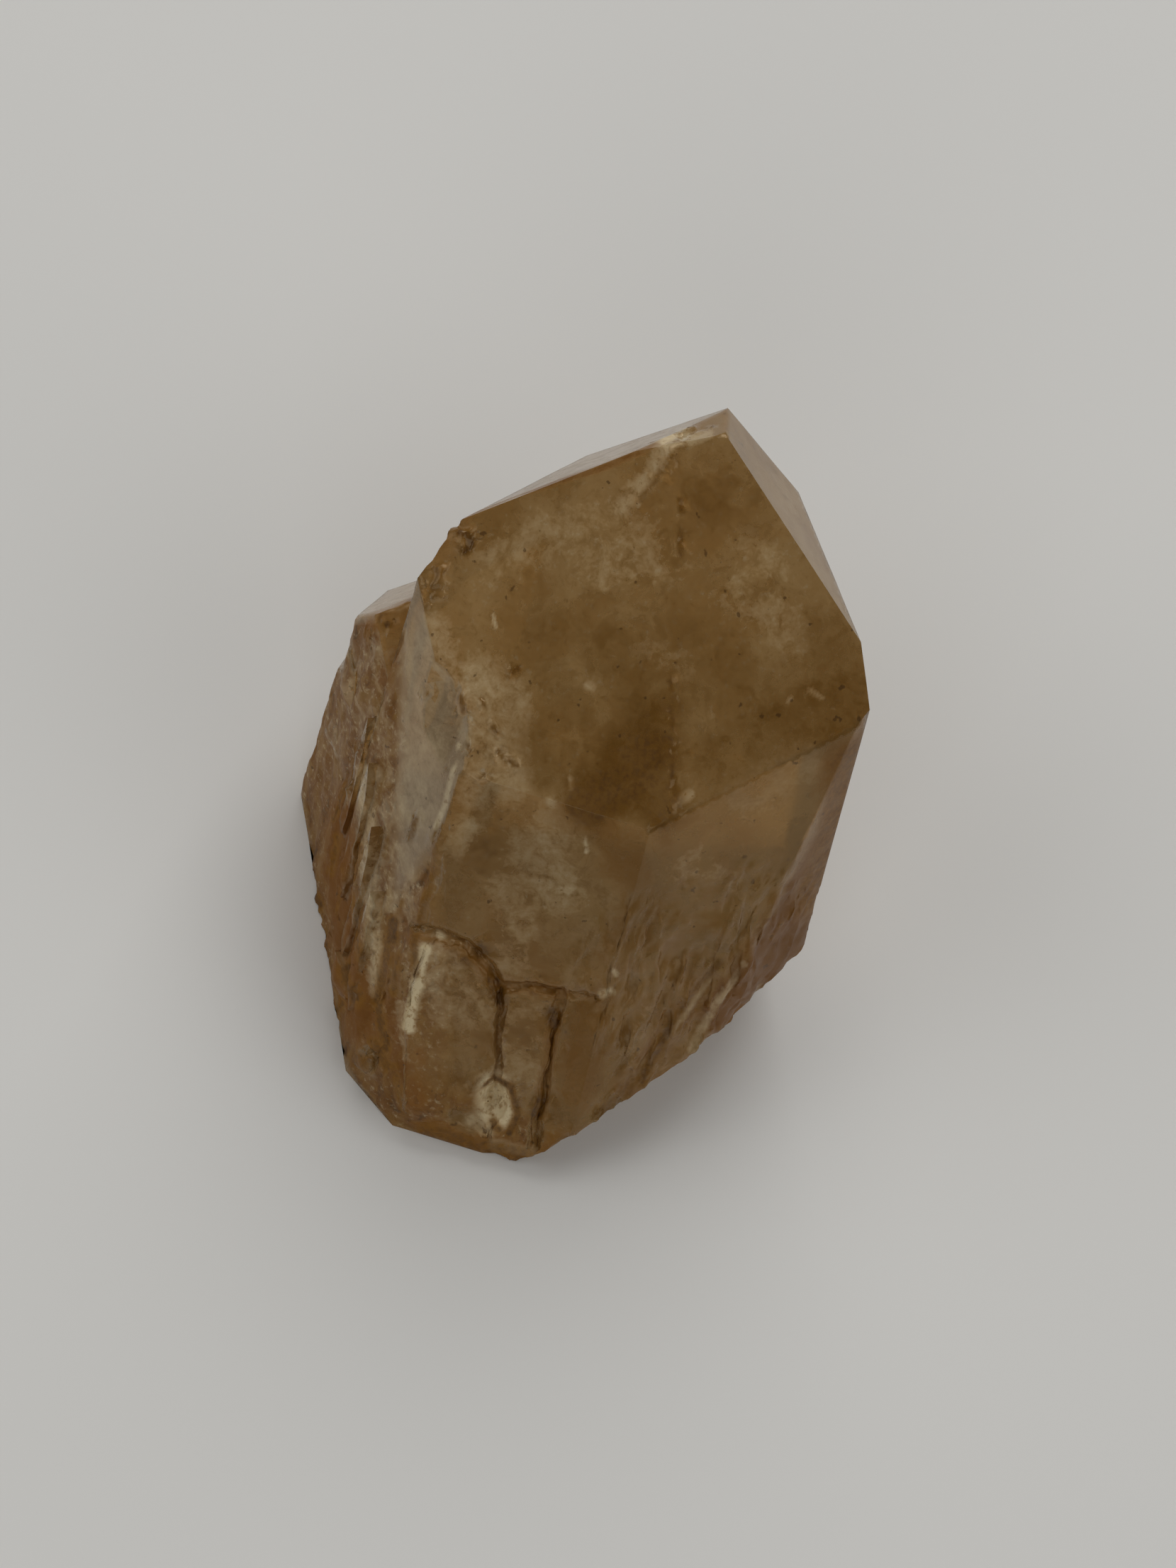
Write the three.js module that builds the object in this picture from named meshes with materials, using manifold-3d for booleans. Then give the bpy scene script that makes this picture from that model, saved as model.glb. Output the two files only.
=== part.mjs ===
// Natural citrine crystal: one stubby, flattened quartz point with a smaller parallel point
// grown along its left side, standing on its oblique broken base and leaning over its tip.
// Millimetres, +Z up, the broken base on Z = 0.
//
// The faces are given in the crystal's own axes: +X out of the front prism face, +Y to the
// right, +Z along the long axis to the tip. The zero point is the middle of the edge where
// the front prism face meets the big front tip face.
import * as THREE from 'three';
import { mergeVertices } from 'three/addons/utils/BufferGeometryUtils.js';
import Module from 'manifold-3d';

const wasm = await Module();
wasm.setup();

// Driving dimensions
const LEAN = 37;            // degrees from upright to the long axis
const BASE_DROP = 29.4;     // height of the zero point above the surface it stands on
const STOCK = 90;           // block that the faces are cut from
const CUTTER = 200;         // side of the block that cuts away all beyond a face
const MERGE = 1e-5;         // vertices closer than this are one

// A face is [azimuth about the long axis, rise of its normal towards the tip, distance],
// in degrees and millimetres. Azimuth 0 is the front and 90 the right.
const MAIN_FACES = {
  frontPrism: [0, 0, 0],
  frontTip: [0, 38.2, 0],
  rightTip: [112.7, 47.6, 24.85],
  leftTip: [-122.7, 42.8, 22.9],
  smallTip: [-114, 62.2, 23.3],
  rearPrism: [180, 4, 25.6],
  rearRightPrism: [120, 5.7, 22.64],
  rightFlat: [30, 1, 3.4],
  rightPrism: [60, -3.1, 12.64],
  leftFlat: [-48, 0, 6.2],
  rearLeftPrism: [-120, 0, 17.7],
  lowerRightBreak: [87.6, -40.1, 26.4],
  rearBreak: [170, -34, 30.2],
};
const SIDE_FACES = {
  frontPrism: [0, 0, -1],
  leftFlat: [-48, 0.4, 5.75],
  frontTip: [0, 38.2, -7.1],
  leftTip: [-122.7, 42.8, 17.9],
  rearLeftPrism: [-100, 0.5, 21.7],
  rearPrism: [180, 2, 23.5],
  inside: [90, 0, 0],
};
const LOW_SIDE_FACES = {
  frontPrism: [0, 0, -2],
  leftFlat: [-52, 0, 6.6],
  frontTip: [-14, 34, -8.4],
  leftTip: [-108, 36, 15.2],
  rearLeftPrism: [-97, 1.5, 21.5],
  rearPrism: [176, 2, 20],
  inside: [90, 0, -6],
};
// Breaks that go right across both points
const SHARED_FACES = {
  leftBreak: [-62.5, -5.3, 10.65],
  lowerLeftBreak: [-30, -6.5, 6.06],
  foot: [0, -22, 12.7],
};

// Raised growth panels on the front prism face: height, and an outline of [across, along]
const PANELS = [
  {
    height: 0.5,
    outline: [
      [-7.2, -17.4], [-6.0, -16.1], [-4.1, -16.2], [-2.35, -17.4], [-0.75, -18.9],
      [-0.2, -22.5], [0.8, -26.3], [2.2, -37], [-4.4, -37], [-6.7, -25.4],
    ],
  },
  {
    height: 0.25,
    outline: [
      [-0.35, -19.2], [1.8, -18.3], [3.8, -18.0], [4.0, -21.2], [4.5, -26.3],
      [5.2, -37], [2.5, -37], [1.2, -26.3],
    ],
  },
];
const PANEL_ROOT = 1.5;     // depth to which a panel is sunk in the body

// Growth ledges: thin steps on a face, each [across, bottom, top, width, height, slant]
const RIGHT_LEDGES = [
  [9.6, -25, -8, 1.8, 0.28, 6],
  [12.6, -22, -12, 1.3, 0.30, 8],
  [15.3, -20.5, -4, 1.6, 0.25, 5],
  [17.3, -18.5, -9.5, 1.2, 0.35, 9],
];
const LEFT_BREAK_LEDGES = [
  [-8.4, -28, -15, 1.5, 0.45, -3],
  [-10.8, -25, -10, 1.3, 0.50, -6],
  [-13.4, -21, -6, 1.7, 0.45, -4],
  [-15.6, -17, -3, 1.2, 0.40, -7],
];
const LEFT_FLAT_LEDGES = [
  [-12.2, -14, -1.5, 2.6, 0.30, -4],
  [-14.6, -12, 0.5, 1.5, 0.35, -7],
];
const LEDGE_ROOT = 1.2;

// Iron-stained cracks: V grooves on the front prism face, from point to point [across, along]
const CRACKS = [
  [[-8.3, -15.9], [-6.3, -15.5], [-4.1, -15.9], [-2.1, -17.1], [-0.55, -18.8]],
  [[-0.55, -18.8], [1.9, -18.0], [4.1, -17.7], [6.9, -17.4]],
  [[4.15, -17.8], [4.35, -21.2], [4.85, -26.3], [5.6, -33.5]],
  [[-0.55, -18.8], [0.0, -22.5], [1.0, -26.3], [1.2, -27.9]],
];
const CRACK_WIDTH = 0.36;
const CRACK_DEPTH = 0.42;

// Hollows broken out of the surface: centre in crystal axes, radii, and turn about X
const HOLLOWS = [
  { at: [0.55, 1.55, -30.1], radii: [1.75, 1.25, 2.3], turn: 8 },
  { at: [1.1, 0.2, -32.3], radii: [1.7, 1.9, 1.5], turn: -20 },
  { at: [3.9, -14.4, 4.4], radii: [9.2, 8.0, 10.4], turn: 0 },
  { at: [-9.4, -13.0, 14.2], radii: [0.9, 0.8, 1.1], turn: 0 },
];
const HOLLOW_DETAIL = 2;

// Angular lumps grown on the outside: centre, radii, and turn about X
const LUMPS = [
  { at: [-9.4, 17.3, -20.0], radii: [1.7, 1.5, 1.9], turn: 25 },
  { at: [-8.4, 16.4, -22.0], radii: [1.5, 1.3, 1.4], turn: -35 },
  { at: [-11.0, -13.2, 12.6], radii: [1.3, 1.5, 1.7], turn: 15 },
  { at: [-9.2, -14.2, 9.0], radii: [1.4, 1.4, 1.7], turn: -20 },
  { at: [-14.2, -17.9, -5.4], radii: [2.4, 1.9, 3.4], turn: 10 },
  { at: [-16.0, -17.6, -11.5], radii: [2.2, 1.9, 2.7], turn: -25 },
  { at: [-6.4, -12.1, -27.5], radii: [1.8, 1.6, 2.8], turn: 20 },
  { at: [-2.6, -8.6, -31.4], radii: [1.5, 1.4, 1.9], turn: -15 },
];
const LUMP_DETAIL = 0;

const rad = THREE.MathUtils.degToRad;

/** From crystal axes to the part's axes: lean back from the front, then stand on Z = 0. */
const stand = new THREE.Matrix4().makeTranslation(0, 0, BASE_DROP).multiply(
  new THREE.Matrix4().makeBasis(
    new THREE.Vector3(0, -Math.cos(rad(LEAN)), Math.sin(rad(LEAN))),
    new THREE.Vector3(1, 0, 0),
    new THREE.Vector3(0, Math.sin(rad(LEAN)), Math.cos(rad(LEAN))),
  ),
);

/** A closed geometry as a solid for joining and cutting. */
function solidOf(geometry) {
  const bare = geometry.clone();
  bare.deleteAttribute('normal');
  bare.deleteAttribute('uv');
  const merged = mergeVertices(bare, MERGE);
  return new wasm.Manifold(new wasm.Mesh({
    numProp: 3,
    vertProperties: new Float32Array(merged.attributes.position.array),
    triVerts: new Uint32Array(merged.index.array),
  }));
}

/** The solid's surface as a flat-shaded geometry. */
function geometryOf(solid) {
  const { vertProperties, triVerts } = solid.getMesh();
  const geometry = new THREE.BufferGeometry();
  geometry.setAttribute('position', new THREE.BufferAttribute(new Float32Array(vertProperties), 3));
  geometry.setIndex(new THREE.BufferAttribute(new Uint32Array(triVerts), 1));
  return geometry;
}

/** The outward direction of a face in crystal axes. */
function normalOf(azimuth, rise) {
  return new THREE.Vector3(
    Math.cos(rad(azimuth)) * Math.cos(rad(rise)),
    Math.sin(rad(azimuth)) * Math.cos(rad(rise)),
    Math.sin(rad(rise)),
  );
}

/** All that lies beyond one face, within reach of the stock. */
function beyond([azimuth, rise, distance]) {
  const block = new THREE.BoxGeometry(CUTTER, CUTTER, CUTTER);
  block.translate(0, 0, CUTTER / 2 + distance);
  const up = new THREE.Vector3(0, 0, 1);
  block.applyQuaternion(new THREE.Quaternion().setFromUnitVectors(up, normalOf(azimuth, rise)));
  return solidOf(block);
}

/** A point cut from the stock by its faces and the shared breaks. */
function pointOf(faces) {
  let point = solidOf(new THREE.BoxGeometry(STOCK, STOCK, STOCK));
  for (const face of [...Object.values(faces), ...Object.values(SHARED_FACES)]) {
    point = point.subtract(beyond(face));
  }
  return point;
}

/** Lays a geometry drawn as (across, along, out) on a face, from the foot of its normal. */
function layOn(geometry, [azimuth, rise, distance]) {
  const out = normalOf(azimuth, rise);
  const across = normalOf(azimuth + 90, 0);
  const along = new THREE.Vector3().crossVectors(out, across);
  geometry.translate(0, 0, distance);
  return geometry.applyMatrix4(new THREE.Matrix4().makeBasis(across, along, out));
}

/** A flat plate of an outline, sunk in a face by its root and standing proud by its height. */
function plateOf(outline, root, height) {
  const shape = new THREE.Shape(outline.map(([across, along]) => new THREE.Vector2(across, along)));
  const plate = new THREE.ExtrudeGeometry(shape, { depth: root + height, bevelEnabled: false });
  return plate.translate(0, 0, -root);
}

/** A raised panel on the front prism face. */
function panelOf({ height, outline }) {
  return solidOf(layOn(plateOf(outline, PANEL_ROOT, height), MAIN_FACES.frontPrism));
}

/** A growth ledge on a face: a strip that tapers to both ends. */
function ledgeOf([across, bottom, top, width, height, slant], face) {
  const half = (top - bottom) / 2;
  const strip = plateOf([
    [-width * 0.5, -half * 0.8],
    [width * 0.1, -half],
    [width * 0.5, -half * 0.55],
    [width * 0.42, half * 0.6],
    [-width * 0.05, half],
    [-width * 0.45, half * 0.4],
  ], LEDGE_ROOT, height);
  strip.rotateZ(rad(slant));
  strip.translate(across, (top + bottom) / 2, 0);
  return solidOf(layOn(strip, face));
}

/** One straight stretch of a V-shaped crack on the front prism face. */
function crackOf([startAcross, startAlong], [endAcross, endAlong]) {
  const run = Math.hypot(endAcross - startAcross, endAlong - startAlong) + CRACK_WIDTH;
  const wedge = new THREE.CylinderGeometry(CRACK_WIDTH, CRACK_WIDTH, run, 4);
  wedge.scale(1, 1, CRACK_DEPTH / CRACK_WIDTH);
  wedge.rotateZ(Math.atan2(endAlong - startAlong, endAcross - startAcross) - Math.PI / 2);
  wedge.translate((startAcross + endAcross) / 2, (startAlong + endAlong) / 2, 0);
  return solidOf(layOn(wedge, MAIN_FACES.frontPrism));
}

/** A faceted ellipsoid, for hollows and lumps. */
function pebbleOf({ at, radii, turn = 0 }, detail) {
  const pebble = new THREE.IcosahedronGeometry(1, detail);
  pebble.scale(...radii);
  pebble.rotateX(rad(turn));
  pebble.translate(...at);
  return solidOf(pebble);
}

/** The two points, ledges and lumps in one solid, cracked and pitted. */
function growCrystal() {
  let crystal = pointOf(MAIN_FACES).add(pointOf(SIDE_FACES)).add(pointOf(LOW_SIDE_FACES));
  for (const lump of LUMPS) crystal = crystal.add(pebbleOf(lump, LUMP_DETAIL));
  for (const [face, ledges] of [
    [MAIN_FACES.rightFlat, RIGHT_LEDGES],
    [SHARED_FACES.leftBreak, LEFT_BREAK_LEDGES],
    [SIDE_FACES.leftFlat, LEFT_FLAT_LEDGES],
  ]) {
    for (const ledge of ledges) crystal = crystal.add(ledgeOf(ledge, face));
  }
  for (const panel of PANELS) crystal = crystal.add(panelOf(panel));
  for (const crack of CRACKS) {
    for (let i = 1; i < crack.length; i += 1) {
      crystal = crystal.subtract(crackOf(crack[i - 1], crack[i]));
    }
  }
  for (const hollow of HOLLOWS) crystal = crystal.subtract(pebbleOf(hollow, HOLLOW_DETAIL));
  for (const face of [SHARED_FACES.foot, MAIN_FACES.lowerRightBreak]) {
    crystal = crystal.subtract(beyond(face));
  }
  return crystal;
}

/** Stand the crystal on its broken base and cut that base level. */
function standOnBase(crystal) {
  const standing = geometryOf(crystal).applyMatrix4(stand);
  const below = new THREE.BoxGeometry(CUTTER, CUTTER, CUTTER);
  below.translate(0, 0, -CUTTER / 2);
  return geometryOf(solidOf(standing).subtract(solidOf(below)));
}

const crystalGeometry = standOnBase(growCrystal());
crystalGeometry.computeBoundingBox();
const middle = crystalGeometry.boundingBox.getCenter(new THREE.Vector3());
crystalGeometry.translate(-middle.x, -middle.y, 0);
crystalGeometry.computeVertexNormals();

const citrine = new THREE.MeshStandardMaterial({
  color: 0x8a6a3c,
  roughness: 0.25,
  metalness: 0,
  flatShading: true,
});

const crystal = new THREE.Mesh(crystalGeometry, citrine);
crystal.name = 'citrine_crystal';

const group = new THREE.Group();
group.add(crystal);

export default group;
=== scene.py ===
"""Natural citrine crystal: one stubby, cloudy golden quartz with a smaller parallel growth, at rest."""
import logging
import math
from dataclasses import dataclass, field
from enum import Enum

import bpy
import numpy as np
from mathutils import Matrix, Vector


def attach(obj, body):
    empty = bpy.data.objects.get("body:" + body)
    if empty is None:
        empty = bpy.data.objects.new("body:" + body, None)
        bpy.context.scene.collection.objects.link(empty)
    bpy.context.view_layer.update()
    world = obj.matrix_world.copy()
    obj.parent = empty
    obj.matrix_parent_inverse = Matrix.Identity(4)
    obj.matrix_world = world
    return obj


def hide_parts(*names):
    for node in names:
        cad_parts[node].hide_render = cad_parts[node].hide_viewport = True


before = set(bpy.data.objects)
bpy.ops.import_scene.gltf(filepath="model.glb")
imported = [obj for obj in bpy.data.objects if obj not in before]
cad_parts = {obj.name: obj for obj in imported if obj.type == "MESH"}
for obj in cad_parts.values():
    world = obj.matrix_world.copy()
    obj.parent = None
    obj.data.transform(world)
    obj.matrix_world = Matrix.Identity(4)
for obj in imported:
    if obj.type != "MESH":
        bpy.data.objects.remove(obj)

LOG = logging.getLogger("citrine")
MM = 0.001

Triple = tuple[float, float, float]
Colour = tuple[float, float, float, float]
Socket = bpy.types.NodeSocket


class Side(Enum):
    """The side facets that carry painted light of their own, by the channel that carries it."""

    RIGHT = 0
    LEFT = 1


class Tone(Enum):
    """What is painted on the stone, by the channel that carries it."""

    # DARK also carries painted shade on the foot lip
    DARK = 0
    # PALE also carries painted highlights on two edges
    PALE = 1
    RUST = 2
    BROKEN = 3


def tint(red: float, green: float, blue: float) -> Colour:
    """Return an opaque colour from its linear parts."""
    return (red, green, blue, 1.0)


def cosine_sine(degrees: float) -> tuple[float, float]:
    """Return an angle's cosine and sine to four decimals."""
    return round(math.cos(math.radians(degrees)), 4), round(math.sin(math.radians(degrees)), 4)


def fade(distance: np.ndarray, reach: float, soft: float) -> np.ndarray:
    """Return a share for each distance: none past the reach, and all of it from a soft width inside."""
    return np.clip((reach - distance) / soft, 0.0, 1.0)


def vectors(rows: bpy.types.bpy_prop_collection, name: str) -> np.ndarray:
    """Read one vector of each vertex or face.

    Args:
        rows: a mesh's vertices or polygons.
        name: the vector's name.

    Returns:
        One row of x, y, z for each of them.
    """
    flat = np.empty(len(rows) * 3)
    rows.foreach_get(name, flat)
    return flat.reshape(-1, 3)


@dataclass(frozen=True)
class Facet:
    """A plane of the crystal: azimuth and rise of its normal in degrees, distance in millimetres."""

    azimuth: float
    rise: float
    distance: float

    def normal(self) -> np.ndarray:
        """Return the unit normal in crystal axes."""
        turn, lift = math.radians(self.azimuth), math.radians(self.rise)
        return np.array((math.cos(turn) * math.cos(lift), math.sin(turn) * math.cos(lift), math.sin(lift)))

    def height(self, points: np.ndarray) -> np.ndarray:
        """Return how far each row of crystal millimetres lies from the plane, on either side."""
        return np.abs(points @ self.normal() - self.distance)


@dataclass(frozen=True)
class CrystalAxes:
    """Where the crystal's own axes lie in the part frame: x out of the front prism, z to the tip."""

    zero: Triple = (-0.5114, -5.8799, 29.4)
    lean: float = 37.0

    def turn(self) -> Matrix:
        """Return the rotation from crystal axes to the part frame."""
        cosine, sine = math.cos(math.radians(self.lean)), math.sin(math.radians(self.lean))
        return Matrix(((0.0, 1.0, 0.0), (-cosine, 0.0, sine), (sine, 0.0, cosine)))

    def origin(self) -> Vector:
        """Return the zero point in metres."""
        return Vector(self.zero) * MM

    def points(self, points: np.ndarray) -> np.ndarray:
        """Return rows of metres in the part frame as rows of crystal millimetres."""
        return (points / MM - np.array(self.zero)) @ np.array(self.turn())

    def directions(self, directions: np.ndarray) -> np.ndarray:
        """Return rows of directions in the part frame as rows in crystal axes."""
        return directions @ np.array(self.turn())


AXES = CrystalAxes()


@dataclass(frozen=True)
class PhotoView:
    """How the photograph looks at the stone, for the camera and for the marks noted on the picture.

    The marks were noted on an enlarged crop, as points right and down from its corner.
    """

    rise: float = 75.5
    tilt: float = 16.9
    scale: float = 25.0  # crop points in a millimetre
    zero: tuple[float, float] = (745.0, 612.0)  # the crystal's zero point, with the crop turned upright

    def slope(self) -> tuple[float, float]:
        """Return the cosine and sine of the angle from the front prism face's normal to the view."""
        return cosine_sine(self.rise - AXES.lean)

    def toward(self) -> np.ndarray:
        """Return the unit vector from the stone to the camera, in crystal axes."""
        cosine, sine = self.slope()
        return np.array((cosine, 0.0, sine))

    def on_facet(self, facet: Facet, right: float, down: float) -> Triple:
        """Find where a noted point lies on its facet.

        Args:
            facet: the facet that carries it.
            right: the crop point's place to the right.
            down: the crop point's place downwards.

        Returns:
            The place in crystal millimetres, to the tenth.
        """
        cosine, sine = cosine_sine(self.tilt)
        across = (cosine * right + sine * down - self.zero[0]) / self.scale
        below = (-sine * right + cosine * down - self.zero[1]) / self.scale
        near, high = self.slope()
        front, side, top = facet.normal().tolist()
        rest = facet.distance - side * across
        facing = -front * near - top * high
        out = (-rest * near - top * below) / facing
        along = (front * below - high * rest) / facing
        return round(out, 1), round(across, 1), round(along, 1)


PHOTO = PhotoView()
MARK_DEPTH = 1.5  # millimetres to which a mark reaches along the view
MARK_SPREAD = 1.5  # half widths at which a mark has faded out


@dataclass(frozen=True)
class Mark:
    """A stain, veil, fleck, painted highlight or painted shade: a line of noted points on a facet, with a
    half width in millimetres.
    """

    facet: Facet
    tone: Tone
    width: float
    strength: float
    noted: tuple[tuple[int, int], ...]

    def path(self) -> np.ndarray:
        """Return the line's points in crystal millimetres."""
        return np.array([PHOTO.on_facet(self.facet, right, down) for right, down in self.noted])

    def distance(self, points: np.ndarray) -> np.ndarray:
        """Measure how far points lie from the line, with some slack along the view.

        Args:
            points: rows in crystal millimetres.

        Returns:
            The distance in millimetres for each row.
        """
        toward = PHOTO.toward()
        best = np.full(len(points), np.inf)
        path = self.path()
        for start, stop in zip(path[:-1], path[1:]):
            along = stop - start
            share = np.clip((points - start) @ along / (along @ along), 0.0, 1.0)
            gap = points - (start + share[:, None] * along)
            depth = gap @ toward
            aside = np.linalg.norm(gap - depth[:, None] * toward, axis=1)
            slack = np.maximum(np.abs(depth) - MARK_DEPTH, 0.0)
            best = np.minimum(best, np.hypot(aside, slack))
        return best


@dataclass(frozen=True)
class PaintedLightFacet:
    """A side facet with painted light of its own, and how squarely a face must look its way to carry it."""

    side: Side
    facet: Facet
    facing: float


@dataclass(frozen=True)
class Roughening:
    """A noise that moves the surface: its grain and depth in millimetres, and where it acts."""

    name: str
    grain: float
    depth: float
    group: str = ""
    every_way: bool = False


# The main point's facets, as in the part's source
FRONT_TIP = Facet(0, 38.2, 0)
FRONT_PRISM = Facet(0, 0, 0)
RIGHT_FLAT = Facet(30, 1, 3.4)
RIGHT_PRISM = Facet(60, -3.1, 12.64)
LEFT_FLAT = Facet(-48, 0, 6.2)
SMALL_TIP = Facet(-114, 62.2, 23.3)
# The smaller growth's facets
SIDE_TIP = Facet(0, 38.2, -7.1)
SIDE_FLAT = Facet(-48, 0.4, 5.75)
LOW_SIDE_FLAT = Facet(-52, 0, 6.6)
# The broken faces
LEFT_BREAK = Facet(-62.5, -5.3, 10.65)
LOW_LEFT_BREAK = Facet(-30, -6.5, 6.06)
FOOT = Facet(0, -22, 12.7)
RIGHT_BREAK = Facet(87.6, -40.1, 26.4)
REAR_BREAK = Facet(170, -34, 30.2)

BROKEN_FACETS: tuple[Facet, ...] = (LEFT_BREAK, LOW_LEFT_BREAK, FOOT, RIGHT_BREAK, REAR_BREAK)
# The side facets that carry painted light: an even painted-light tan on the right flat, a painted reflection
# on the left flats
PAINTED_LIGHT_FACETS: tuple[PaintedLightFacet, ...] = (
    PaintedLightFacet(Side.RIGHT, RIGHT_FLAT, 0.93),
    PaintedLightFacet(Side.LEFT, LEFT_FLAT, 0.80),
    PaintedLightFacet(Side.LEFT, LOW_SIDE_FLAT, 0.80),
)
# Where the stone is ragged beside its breaks: a centre in crystal millimetres and a radius
RAGGED_SPOTS: tuple[tuple[Triple, float], ...] = (
    ((-3.8, 13.8, -14.5), 11.5),
    ((-6.5, 18.8, -15.5), 4.0),
    ((-12.5, -15.0, 4.5), 2.5),
    ((-1.2, -9.4, -24.0), 6.0),
)
ROUGHENINGS: tuple[Roughening, ...] = (
    Roughening("coarse_break", 2.6, 0.38, "broken"),
    Roughening("fine_break", 0.6, 0.114, "broken"),
    Roughening("facet_wave", 5.0, 0.035),
    Roughening("ragged_cracks", 0.9, 0.42, "ragged", every_way=True),
)

# The marks, facet by facet: tone, half width in millimetres, strength, and points on the enlarged crop
Note = tuple[Tone, float, float, tuple[tuple[int, int], ...]]
DARK, PALE, RUST = Tone.DARK, Tone.PALE, Tone.RUST
NOTES: dict[Facet, tuple[Note, ...]] = {}
NOTES[FRONT_TIP] = (
    (DARK, 2.7, 0.9, ((580, 800), (650, 760), (705, 700))),
    (DARK, 1.8, 0.8, ((640, 700), (735, 620))),
    (DARK, 2.2, 0.8, ((690, 760), (730, 800))),
    (DARK, 1.4, 0.5, ((650, 640), (700, 600), (735, 600))),
    (DARK, 1.6, 0.8, ((690, 800), (725, 830))),
    (DARK, 1.5, 0.55, ((470, 680), (500, 745))),
    (DARK, 0.3, 0.9, ((736, 560), (740, 700), (744, 815))),
    (PALE, 0.45, 0.8, ((772, 783), (750, 800))),
    (PALE, 2, 0.5, ((375, 560), (365, 640), (390, 720), (370, 775))),
    (PALE, 1.8, 0.42, ((430, 770), (445, 700), (430, 600))),
    (DARK, 0.2, 0.9, ((378, 600), (384, 612))),
    (DARK, 0.22, 0.9, ((400, 655), (408, 665))),
    (DARK, 0.3, 0.9, ((450, 543), (440, 550))),
    (DARK, 0.2, 0.8, ((408, 700), (415, 712))),
    (DARK, 0.2, 0.8, ((432, 720), (445, 728))),
    (DARK, 0.18, 0.8, ((383, 745), (372, 752))),
    (DARK, 0.18, 0.8, ((352, 690), (356, 700))),
    (DARK, 0.3, 0.8, ((338, 600), (342, 625))),
    (DARK, 0.3, 0.75, ((680, 222), (712, 180), (738, 140))),
    (PALE, 0.9, 0.55, ((640, 240), (690, 190), (730, 120))),
    (DARK, 0.28, 0.8, ((756, 222), (758, 245))),
    (DARK, 0.3, 0.85, ((755, 282), (757, 330))),
    (DARK, 2.4, 0.42, ((835, 130), (855, 185), (890, 250))),
    (DARK, 1.4, 0.5, ((780, 200), (830, 250))),
    (PALE, 0.5, 0.7, ((775, 110), (810, 98))),
    (PALE, 0.22, 0.8, ((1003, 585), (1026, 600))),
    (PALE, 0.22, 0.8, ((960, 608), (966, 600))),
    (PALE, 0.2, 0.8, ((399, 442), (405, 462))),
    (PALE, 0.2, 0.9, ((547, 757), (550, 774))),
    (PALE, 0.4, 0.6, ((580, 575), (588, 580))),
    (DARK, 2.8, 0.6, ((1040, 500), (1070, 570), (1040, 640))),
    (DARK, 2.6, 0.4, ((800, 560), (900, 590), (960, 560))),
    (DARK, 2, 0.4, ((700, 470), (780, 490))),
    (DARK, 1.8, 0.4, ((520, 560), (560, 640), (560, 700))),
    (DARK, 1.6, 0.4, ((480, 450), (560, 470))),
    (DARK, 1.6, 0.4, ((800, 700), (900, 680), (1000, 650))),
    (PALE, 2, 0.3, ((860, 400), (930, 430), (970, 500))),
    (PALE, 2.4, 0.32, ((600, 350), (720, 330))),
    (PALE, 1.3, 0.36, ((690, 510), (760, 540))),
    (PALE, 2.4, 0.28, ((420, 330), (540, 280), (650, 260))),
    (PALE, 1.5, 0.3, ((880, 300), (930, 350))),
    (DARK, 0.4, 1, ((333, 285), (352, 290), (358, 308), (346, 320))),
    (RUST, 1.2, 0.45, ((300, 350), (315, 290), (335, 262))),
    (DARK, 0.5, 0.7, ((285, 400), (300, 350))),
    (RUST, 0.3, 0.7, ((332, 258), (440, 212), (600, 165), (700, 125), (755, 92))),
    (DARK, 0.35, 0.9, ((755, 92), (800, 68), (842, 45))),
    (RUST, 1.6, 0.3, ((310, 470), (330, 600))),
    (DARK, 3.4, 0.62, ((1050, 600), (950, 660), (850, 720))),
    (DARK, 3, 0.5, ((620, 520), (700, 580), (860, 560))),
)
NOTES[SMALL_TIP] = (
    (PALE, 0.9, 0.8, ((735, 112), (760, 100))),
)
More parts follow.
